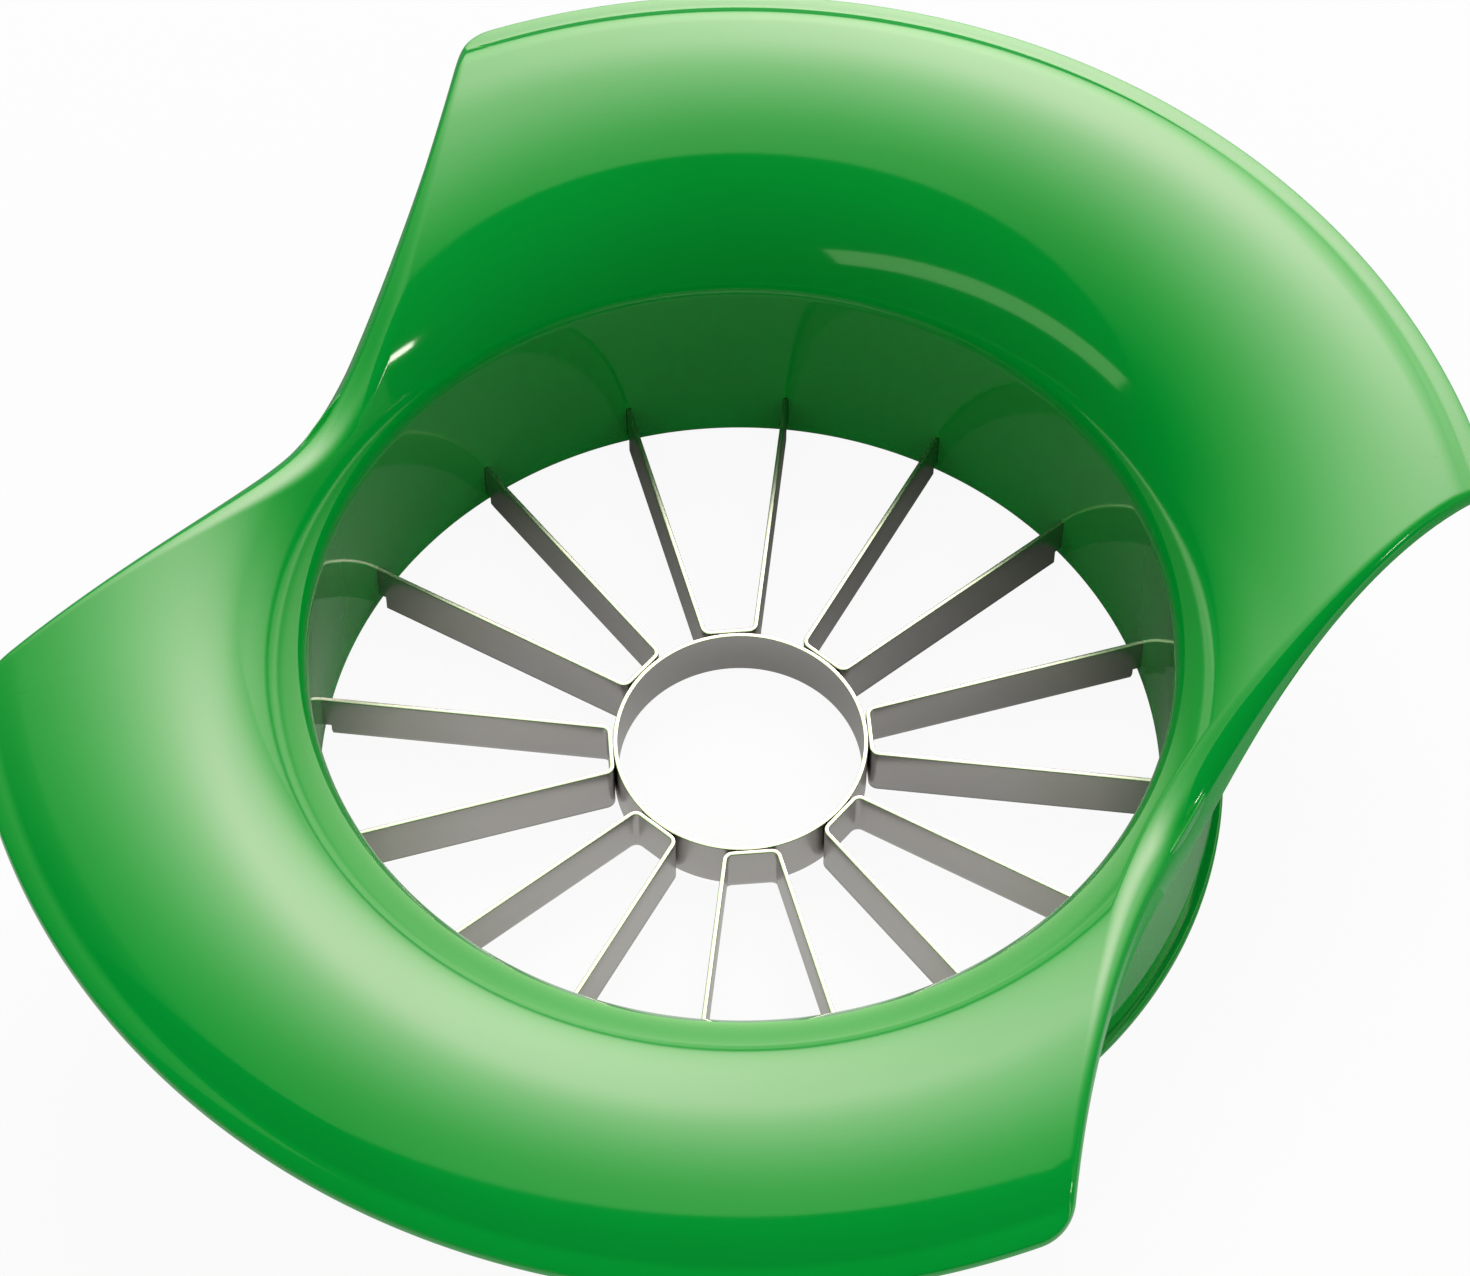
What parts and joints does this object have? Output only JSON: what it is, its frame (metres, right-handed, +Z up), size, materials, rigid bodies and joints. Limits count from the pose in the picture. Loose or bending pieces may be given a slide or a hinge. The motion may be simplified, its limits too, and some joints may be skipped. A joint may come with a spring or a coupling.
{
  "type": "apple slicer",
  "caption": "Push-down apple slicer and corer: a round plastic collar with two wide wings over a ring of steel blades.",
  "frame": {"origin": "under the middle of the base ring, on the surface that the slicer stands on", "axes": "+X through the middle of one wing, +Y through the middle of one waist, +Z up out of the opening"},
  "size_m": [0.1624, 0.1264, 0.0413],
  "materials": {
    "green_plastic": "high gloss, moulded",
    "blade_steel": "satin rolled strip"
  },
  "bodies": {
    "root": {"handle_shell": "green_plastic", "base_ring": "green_plastic", "core_ring": "blade_steel", "blade_pair_1": "blade_steel", "blade_pair_2": "blade_steel", "blade_pair_3": "blade_steel", "blade_pair_4": "blade_steel", "blade_pair_5": "blade_steel", "blade_pair_6": "blade_steel", "blade_pair_7": "blade_steel", "blade_pair_8": "blade_steel"}
  },
  "joints": []
}
